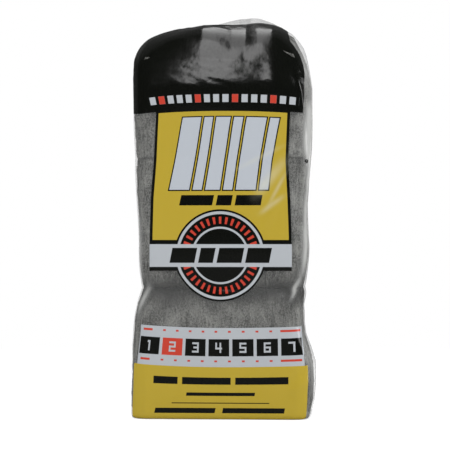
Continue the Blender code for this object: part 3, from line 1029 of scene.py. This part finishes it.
@dataclass
class FilmBag:
    """The printed film bag: a flat sleeve of film wrapped round the pads, flat below and gathered above."""

    shape: PackShape
    columns: int = 344
    rows: int = 268
    seal_length: float = 52.0 * MM
    seal_height: float = 7.0 * MM
    seal_foot: float = 6.0 * MM
    seal_thickness: float = 0.5 * MM
    top_swell: float = 3.6 * MM
    swell_reach: float = 31.0 * MM
    seal_offset: float = 13.0 * MM
    back_seal_width: float = 11.0 * MM
    back_seal_height: float = 0.7 * MM
    dome_rise: float = 2.4
    dome_reach: float = 46.0 * MM
    wrinkle_limits: tuple[float, float] = (-0.55, 2.8)
    print_half: float = 72.0 * MM
    print_foot: float = -20.0 * MM
    arch_reach: float = 48.0 * MM
    arch_left: float = 1.75 * MM
    arch_right: float = 1.0 * MM
    bow_height: float = 1.7 * MM
    top_crumple: float = 0.11
    left_print: tuple[tuple[float, float], ...] = (
        (0.0, 1.0), (0.028, 1.035), (0.050, 1.10), (0.080, 1.0), (0.100, 1.0), (0.120, 1.015),
        (0.140, 1.06), (0.168, 1.10), (0.180, 1.04), (0.190, 1.0))
    right_print: tuple[tuple[float, float], ...] = (
        (0.0, 1.01), (0.028, 1.015), (0.050, 1.025), (0.080, 1.0), (0.100, 1.0), (0.120, 1.02),
        (0.140, 1.05), (0.168, 1.02), (0.180, 1.0), (0.190, 0.99), (0.205, 0.96), (0.216, 0.935))
    folds: tuple[Fold, ...] = (
        Fold((17.0, 112.0), (37.0, 146.0), 3.2, 0.55),
        Fold((26.0, 104.0), (40.0, 132.0), 2.4, 0.45),
        Fold((8.0, 128.0), (34.0, 158.0), 4.0, 0.4),
        Fold((-44.0, 74.0), (-30.0, 66.0), 2.6, -0.5),
        Fold((44.0, 74.0), (30.0, 67.0), 2.6, -0.5),
        Fold((-46.0, 84.0), (-38.0, 70.0), 1.8, 0.6),
        Fold((45.0, 80.0), (52.0, 62.0), 2.2, 0.9),
        Fold((46.0, 100.0), (49.0, 150.0), 2.4, 0.9),
        Fold((51.0, 110.0), (53.0, 172.0), 3.0, 1.1),
        Fold((47.0, 160.0), (42.0, 200.0), 1.8, 0.7),
        Fold((36.0, 12.0), (48.0, 24.0), 3.0, 0.7),
        Fold((29.5, 176.0), (30.5, 209.0), 4.6, 0.46),
    )
    # Painted highlights on the clear film's folds and edges, laid out with the folds' shape
    painted_sheens: tuple[Fold, ...] = (
        Fold((50.5, 222.0), (52.5, 160.0), 4.0, 0.65),
        Fold((49.5, 178.0), (49.5, 142.0), 3.8, 1.4),
        Fold((50.0, 152.0), (51.5, 124.0), 2.8, 1.2),
        Fold((52.0, 134.0), (51.5, 94.0), 3.0, 1.4),
        Fold((51.0, 106.0), (49.5, 76.0), 3.3, 1.1),
        Fold((47.5, 79.0), (42.0, 64.0), 1.4, 0.9),
        Fold((47.0, 50.0), (55.0, 10.0), 4.2, 0.65),
        Fold((-44.0, 75.0), (-51.0, 54.0), 2.2, 0.8),
        Fold((-52.0, 116.0), (-51.5, 72.0), 2.8, 1.0),
    )
    # Painted highlights on the print, laid out with the folds' shape
    glints: tuple[Fold, ...] = (
        Fold((37.5, 142.0), (20.0, 121.0), 2.8, 0.5),
        Fold((36.5, 149.0), (8.0, 135.0), 1.2, 0.28),
        Fold((37.5, 121.5), (22.0, 111.0), 1.3, 0.38),
        Fold((38.0, 135.0), (28.0, 116.0), 1.0, 0.35),
    )
    piece: bpy.types.Object | None = None

    def plan(self, along: np.ndarray, inset: np.ndarray) -> np.ndarray:
        """Outline of the bag from above.

        Args:
            along: distance round the bag from the middle of the front, to the right.
            inset: how far the outline is drawn in.

        Returns:
            The (x, y) places.
        """
        shape = self.shape
        radius = shape.corner_radius - np.minimum(inset, shape.corner_radius * 0.8)
        reach_x = shape.half_width - inset - radius
        reach_y = shape.half_depth - inset - radius
        flat = shape.half_width - shape.corner_radius
        side = 2 * (shape.half_depth - shape.corner_radius)
        arc = math.pi / 2 * shape.corner_radius
        far = np.abs(along)
        first = np.clip(far / flat, 0.0, 1.0)
        bend = np.clip((far - flat) / arc, 0.0, 1.0) * math.pi / 2
        second = np.clip((far - flat - arc) / side, 0.0, 1.0)
        turn = np.clip((far - flat - arc - side) / arc, 0.0, 1.0) * math.pi / 2
        third = np.clip((far - flat - 2 * arc - side) / flat, 0.0, 1.0)
        x = first * reach_x + radius * np.sin(bend) - radius * (1.0 - np.cos(turn)) - third * reach_x
        y = -reach_y - radius * np.cos(bend) + second * 2 * reach_y + radius * np.sin(turn)
        return np.stack([x * np.sign(along), y + self.back_seal_height * self.back_seal(along)], axis=1)

    def back_seal(self, along: np.ndarray) -> np.ndarray:
        """1 on the back seal, and 0 off it, at distances round the bag."""
        edge = self.back_seal_width / 2
        return smooth_step(edge + 0.8 * MM, edge, self.half_round - np.abs(along))

    @property
    def half_round(self) -> float:
        """Half the distance round the bag."""
        shape = self.shape
        straight = 2 * (shape.half_width - shape.corner_radius) + 2 * (shape.half_depth - shape.corner_radius)
        return straight + math.pi * shape.corner_radius

    def wrap(self, along: np.ndarray, up: np.ndarray) -> np.ndarray:
        """Wraps places of the flat sleeve round the plain pack.

        Args:
            along: distance round the bag from the middle of the front.
            up: distance up the sheet, equal to the height on the bag's wall.

        Returns:
            The places on the plain bag.
        """
        shape = self.shape
        base_arc = shape.base_radius * math.pi / 2
        wall_top = shape.film_top - shape.top_radius
        top_arc = shape.top_radius * math.pi / 2
        low = np.clip((shape.base_radius - up) / base_arc, 0.0, 1.0) * math.pi / 2
        high = np.clip((up - wall_top) / top_arc, 0.0, 1.0) * math.pi / 2
        inset = shape.base_radius * (1.0 - np.cos(low)) + shape.top_radius * (1.0 - np.cos(high))
        height = np.clip(up, shape.base_radius, wall_top)
        height = height - shape.base_radius * np.sin(low) + shape.top_radius * np.sin(high)
        ring = self.plan(along, inset)
        base_share = np.clip((shape.base_radius - base_arc - up) / self.base_flat, 0.0, 1.0)
        ring[:, 1] *= 1.0 - base_share
        ring[:, 0] *= 1.0 - 0.22 * base_share
        gather = np.clip((up - wall_top - top_arc) / self.top_flat, 0.0, 1.0)
        rise = np.clip((up - wall_top - top_arc - self.top_flat) / self.seal_height, 0.0, 1.0)
        thick = self.seal_foot * (1.0 - rise) + self.seal_thickness * rise
        thick = thick * (rise < 0.999)
        across = ring[:, 0] / (shape.half_width - shape.top_radius)
        foot_x = self.seal_offset + across * self.seal_length / 2
        foot_y = ring[:, 1] / (shape.half_depth - shape.top_radius) * thick / 2
        x = ring[:, 0] + (foot_x - ring[:, 0]) * gather
        y = ring[:, 1] + (foot_y - ring[:, 1]) * gather
        crest = 0.1 + 0.9 * np.cos(np.clip(across, -1, 1) * math.pi / 2) ** 2
        over_top = smooth_step(wall_top, wall_top + top_arc, up)
        swell = (1.0 - np.clip(np.abs(y) / self.swell_reach, 0.0, 1.0) ** 2.5) * over_top
        lift = crest * (self.top_swell * swell + (self.seal_height - self.top_swell) * rise)
        return np.stack([x, y, height + lift], axis=1)

    @property
    def base_flat(self) -> float:
        """Width of film from the base's edge to its middle."""
        return self.shape.half_depth - self.shape.base_radius

    @property
    def top_flat(self) -> float:
        """Width of film from the top's edge to the foot of the seal."""
        return self.shape.half_depth - self.shape.top_radius - self.seal_foot / 2

    @property
    def sheet_span(self) -> tuple[float, float]:
        """Lowest and highest place on the sheet."""
        shape = self.shape
        low = shape.base_radius - shape.base_radius * math.pi / 2 - self.base_flat
        wall_top = shape.film_top - shape.top_radius
        high = wall_top + shape.top_radius * math.pi / 2 + self.top_flat + self.seal_height
        return low, high

    def wrinkle(self, along: np.ndarray, up: np.ndarray, points: np.ndarray) -> np.ndarray:
        """How far the film stands off its plain place: soft lumps, crumples and folds."""
        shape = self.shape
        top = smooth_step(170 * MM, 188 * MM, up)
        crease = shape.crease(up)
        sides = smooth_step(shape.half_width - 9 * MM, shape.half_width - 1 * MM, np.abs(points[:, 0]))
        slanted = points.copy()
        slanted[:, 2] += 0.35 * points[:, 0]
        lumps = noise_at(points, (26 * MM, 26 * MM, 20 * MM), 3.0)
        pull = noise_at(points, (22 * MM, 16 * MM, 5 * MM), 11.0)
        shards = 0.5 - 2.0 * np.abs(noise_at(slanted, (17 * MM, 12 * MM, 7 * MM), 21.0))
        fine = 0.5 - 2.0 * np.abs(noise_at(slanted, (7 * MM, 5 * MM, 3.6 * MM), 31.0))
        gusset = 0.5 - 2.0 * np.abs(noise_at(points, (9 * MM, 9 * MM, 60 * MM), 41.0))
        sheet = np.stack([points[:, 0], points[:, 1], up + 0.35 * points[:, 0]], axis=1)
        facets = np.zeros_like(up)
        for middle, reach in ((-12.0, 18.0), (23.0, 12.0)):
            beside = points[:, 0] / MM - middle
            tilt = beside * np.clip(1.0 - (beside / reach) ** 2, 0.0, 1.0)
            facets += tilt * noise_at(sheet, (60 * MM, 60 * MM, 4.5 * MM), 61.0 + middle)
        height = (0.16 - 0.11 * top) * lumps
        height += (0.025 + 0.42 * crease) * pull
        height += top * (0.075 * shards + 0.03 * fine + 0.04 * facets)
        front = smooth_step(-0.4 * shape.half_depth, -0.9 * shape.half_depth, points[:, 1])
        dome = np.clip(1.0 - (points[:, 0] / self.dome_reach) ** 2, 0.0, 1.0)
        dome *= smooth_step(136 * MM, 186 * MM, up)
        height += self.dome_rise * front * dome
        height += sides * (0.2 + 0.35 * np.clip(gusset, -0.3, 0.8) + 0.03 * shards)
        height += 0.01 * fine
        for fold in self.folds:
            height += fold.rise(along, up)
        edge = smooth_step(shape.base_radius, shape.base_radius + 6 * MM, points[:, 2])
        return np.clip(height, *self.wrinkle_limits) * MM * (0.12 + 0.88 * edge)

    def build(self) -> None:
        """Builds the film from a flat grid: wraps it, wrinkles it and closes its seams."""
        deselect_all()
        bpy.ops.mesh.primitive_grid_add(x_subdivisions=self.columns, y_subdivisions=self.rows, size=1.0)
        self.piece = bpy.context.active_object
        self.piece.name = "film_bag_printed"
        mesh = self.piece.data
        flat = np.empty(len(mesh.vertices) * 3)
        mesh.vertices.foreach_get("co", flat)
        flat = flat.reshape(-1, 3)
        low, high = self.sheet_span
        along = flat[:, 0] * 2 * self.half_round
        up = low + (flat[:, 1] + 0.5) * (high - low)
        plain = self.wrap(along, up)
        placed = self.place(plain)
        wide = len(np.unique(np.round(flat[:, 0], 6)))
        grid = placed.reshape(-1, wide, 3)
        round_way = np.roll(grid[:, :-1], -1, axis=1) - np.roll(grid[:, :-1], 1, axis=1)
        round_way = np.concatenate([round_way, round_way[:, :1]], axis=1)
        up_way = np.gradient(grid, axis=0)
        normal = np.cross(round_way, up_way)
        normal /= np.maximum(np.linalg.norm(normal, axis=2, keepdims=True), 1e-12)
        placed = placed + normal.reshape(-1, 3) * self.wrinkle(along, up, plain)[:, None]
        placed[:, 2] = np.maximum(placed[:, 2], 0.0)
        mesh.vertices.foreach_set("co", placed.ravel())
        # Painted sheen streaks on the clear film with the back seal's haze, and painted highlights on the
        # print, each kept as a point attribute
        uneven = 0.8 + 0.5 * noise_at(plain, (7 * MM, 7 * MM, 16 * MM), 51.0)
        seam = 0.4 * self.back_seal(along)
        for name, streaks, level in ((SHEEN_AND_SEAL, self.painted_sheens, seam), (GLINT, self.glints, 0.0)):
            level = uneven * (level + sum(streak.rise(along, up) for streak in streaks))
            mesh.attributes.new(name, "FLOAT", "POINT").data.foreach_set("value", np.clip(level, 0.0, 1.0))
        self.map_sheet(low, high)
        self.close_seams()
        mesh.shade_smooth()

    def place(self, plain: np.ndarray) -> np.ndarray:
        """Presses the plain bag into its wrapped form and puts it in the frame."""
        return self.shape.slacken(self.shape.press(plain)) + self.shape.middle

    def map_sheet(self, low: float, high: float) -> None:
        """Turns the grid's own map into distances on the flat sheet."""
        uv_map = self.piece.data.uv_layers[0]
        uv_map.name = SHEET_MAP
        spots = np.empty(len(uv_map.data) * 2)
        uv_map.data.foreach_get("uv", spots)
        spots = spots.reshape(-1, 2)
        spots[:, 0] = (spots[:, 0] - 0.5) * 2 * self.half_round
        spots[:, 1] = low + spots[:, 1] * (high - low)
        tall = spots[:, 1]
        heights = np.minimum(tall, 200 * MM)
        probe = 40 * MM
        probes = np.stack([np.copysign(probe, spots[:, 0]), np.zeros_like(heights), heights], axis=1)
        drawn = np.abs(self.shape.press(probes)[:, 0]) / probe
        left = np.interp(tall, *np.array(self.left_print).T)
        right = np.interp(tall, *np.array(self.right_print).T)
        spots[:, 0] *= drawn * np.where(spots[:, 0] < 0.0, left, right)
        across = np.clip(spots[:, 0] / self.arch_reach, -1.2, 1.2)
        arch = np.where(across < 0.0, self.arch_left, self.arch_right) * across ** 2
        near = smooth_step(6 * MM, 28 * MM, tall) * smooth_step(80 * MM, 56 * MM, tall)
        bow = self.bow_height * np.clip(1.0 - across ** 2, 0.0, 1.0)
        high_near = smooth_step(146 * MM, 164 * MM, tall) * smooth_step(200 * MM, 180 * MM, tall)
        spots[:, 1] -= arch * near + bow * high_near
        uv_map.data.foreach_set("uv", spots.ravel())

    def close_seams(self) -> None:
        """Merges the sleeve's two upright edges, and its front and back where they meet at both ends."""
        make_active(self.piece)
        bpy.ops.object.mode_set(mode="EDIT")
        bpy.ops.mesh.select_all(action="SELECT")
        bpy.ops.mesh.remove_doubles(threshold=0.00001)
        bpy.ops.mesh.normals_make_consistent(inside=False)
        bpy.ops.mesh.select_all(action="DESELECT")
        bpy.ops.object.mode_set(mode="OBJECT")

    def dress(self) -> None:
        """Gives the film its printed and clear finishes and ties it to its node."""
        mesh = self.piece.data
        mesh.materials.append(FilmFinish("film_clear").build())
        for index, (low, high) in enumerate(zip(PRINT_BANDS, PRINT_BANDS[1:]), start=1):
            crumple = self.top_crumple if high == PRINT_BANDS[-1] else FilmFinish.crumple
            mesh.materials.append(FilmFinish(f"film_print_{index}", low, high, crumple=crumple).build())
        uv_map = mesh.uv_layers[SHEET_MAP].data
        for face in mesh.polygons:
            spot = uv_map[face.loop_start].uv
            clear = abs(spot.x) > self.print_half or spot.y < self.print_foot
            band = sum(spot.y / MM > limit for limit in PRINT_BANDS[:-1])
            face.material_index = 0 if clear else band
        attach(self.piece, BODY)
        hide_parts("film_bag")


@dataclass(frozen=True)
class Lamp:
    """A soft rectangular lamp, with its width and height in metres and its power in watts."""

    name: str
    place: tuple[float, float, float]
    aim: tuple[float, float, float]
    size: tuple[float, float]
    watts: float

    def add(self) -> None:
        """Adds the lamp to the scene."""
        light = bpy.data.lights.new(self.name, "AREA")
        light.shape = "RECTANGLE"
        light.size, light.size_y = self.size
        light.energy = self.watts
        lamp = bpy.data.objects.new(self.name, light)
        lamp.location = self.place
        lamp.rotation_euler = (Vector(self.aim) - Vector(self.place)).to_track_quat("-Z", "Y").to_euler()
        bpy.context.scene.collection.objects.link(lamp)


LAMPS = (
    Lamp("strip_front", place=(-0.092, -0.98, 0.733), aim=(0.0, 0.0, 0.19), size=(0.216, 0.36), watts=1.0),
    Lamp("strip_slant", place=(-0.052, -0.62, 1.02), aim=(0.0, 0.0, 0.19), size=(0.206, 0.60), watts=1.45),
    Lamp("strip_top", place=(-0.005, 0.28, 1.15), aim=(-0.005, 0.26, 0.0), size=(0.22, 1.3), watts=1.95),
    Lamp("right_fill", place=(1.3, -0.35, 0.45), aim=(0.0, 0.0, 0.1), size=(0.3, 0.9), watts=3.2),
)


@dataclass(frozen=True)
class Studio:
    """Floor, light and camera."""

    distance: float = 0.9
    camera_height: float = 0.100
    aim_height: float = 0.1056
    aim_side: float = -0.0002
    turn_deg: float = 3.0
    frame_width: float = 0.2529
    shadow_reach: float = 0.55
    floor_lift: float = 0.62
    floor_level: float = 0.85
    world_level: float = 1.03
    mirror_share: float = 0.07
    mirror_dim: float = 0.985
    floor_mirror: float = 0.1
    sensor: float = 36.0

    def floor_material(self) -> bpy.types.Material:
        """The pale floor: white to the eye, with the pack's soft shadow, and plain to the light."""
        material, desk, shader = new_finish("floor_pale")
        shader.inputs["Roughness"].default_value = 0.9
        shader.inputs["Specular IOR Level"].default_value = 0.1
        out = next(node for node in material.node_tree.nodes if node.type == "OUTPUT_MATERIAL")
        place = desk.add("ShaderNodeTexCoord")
        reach = desk.vector("LENGTH", place.outputs["Object"])
        far = desk.ramp(reach, (self.shadow_reach * 0.4, 0.0), (self.shadow_reach, 1.0))
        lift = desk.add("ShaderNodeEmission")
        lift.inputs["Strength"].default_value = self.floor_lift
        near = desk.add("ShaderNodeAddShader")
        desk.put(near.inputs[0], shader.outputs["BSDF"])
        desk.put(near.inputs[1], lift.outputs["Emission"])
        white = desk.add("ShaderNodeEmission")
        seen = desk.mix_shader(far, near.outputs["Shader"], white.outputs["Emission"])
        path = desk.add("ShaderNodeLightPath")
        dim = desk.math("MULTIPLY_ADD", path.outputs["Is Glossy Ray"],
                        self.floor_mirror - self.floor_level, self.floor_level)
        level = desk.add("ShaderNodeCombineColor")
        for socket in level.inputs:
            desk.put(socket, dim)
        desk.put(shader.inputs["Base Color"], level.outputs["Color"])
        final = desk.mix_shader(desk.seen_straight(path), shader.outputs["BSDF"], seen)
        desk.put(out.inputs["Surface"], final)
        return material

    def floor(self) -> None:
        """Adds the pale floor."""
        deselect_all()
        bpy.ops.mesh.primitive_plane_add(size=6.0, location=(0.0, 0.0, -0.0002))
        floor = bpy.context.active_object
        floor.name = "floor"
        floor.data.materials.append(self.floor_material())

    def world(self) -> None:
        """Makes the world white where the camera sees it and soft elsewhere."""
        world = bpy.data.worlds.new("studio")
        bpy.context.scene.world = world
        world.use_nodes = True
        desk = NodeDesk(world.node_tree)
        path = desk.add("ShaderNodeLightPath")
        out = next(node for node in world.node_tree.nodes if node.type == "OUTPUT_WORLD")
        soft = next(node for node in world.node_tree.nodes if node.type == "BACKGROUND")
        soft.inputs["Color"].default_value = (0.8, 0.8, 0.8, 1.0)
        glossy = path.outputs["Is Glossy Ray"]
        dim = desk.math("SUBTRACT", 1.0, desk.math("MULTIPLY", glossy, self.mirror_dim))
        desk.put(soft.inputs["Strength"], desk.math("MULTIPLY", dim, self.world_level))
        white = desk.add("ShaderNodeBackground")
        white.inputs["Color"].default_value = (1.0, 1.0, 1.0, 1.0)
        white.inputs["Strength"].default_value = 1.0
        way = desk.add("ShaderNodeTexCoord")
        behind = desk.math("GREATER_THAN", desk.split(way.outputs["Generated"])["Y"], 0.1)
        mirrored = desk.math("MULTIPLY", desk.math("MULTIPLY", glossy, behind), self.mirror_share)
        seen = desk.math("MAXIMUM", desk.seen_straight(path), mirrored)
        backdrop = desk.mix_shader(seen, soft.outputs["Background"], white.outputs["Background"])
        desk.put(out.inputs["Surface"], backdrop)

    def camera(self) -> None:
        """Sets the camera at the photograph's viewing angle."""
        data = bpy.data.cameras.new("camera")
        data.sensor_width = self.sensor
        data.lens = self.sensor * self.distance / self.frame_width
        data.clip_start = 0.05
        camera = bpy.data.objects.new("camera", data)
        turn = math.radians(self.turn_deg)
        across, ahead = self.distance * math.sin(turn), -self.distance * math.cos(turn)
        camera.location = (across, ahead, self.camera_height)
        aim = Vector((self.aim_side, 0.0, self.aim_height))
        camera.rotation_euler = (aim - camera.location).to_track_quat("-Z", "Y").to_euler()
        bpy.context.scene.collection.objects.link(camera)
        bpy.context.scene.camera = camera

    def build(self) -> None:
        """Builds the whole studio."""
        bpy.context.scene.view_settings.view_transform = "Standard"
        self.camera()
        self.floor()
        self.world()
        for lamp in LAMPS:
            lamp.add()


def main() -> None:
    """Builds the studio, the pads and the film, and reports each piece."""
    logging.basicConfig(level=logging.INFO, format="%(message)s")
    Studio().build()
    shape = PackShape()
    wool = WoolFinish().build()
    for tier in range(len(TIERS)):
        for rank in range(PADS_DEEP):
            pad = WoolPad(tier, rank, shape)
            pad.build_ribbon()
            pad.dress(wool)
            log.info("%s: %d faces", pad.piece.name, len(pad.piece.data.polygons))
    film = FilmBag(shape)
    film.build()
    film.dress()
    log.info("%s: %d faces", film.piece.name, len(film.piece.data.polygons))


if __name__ == "__main__":
    main()
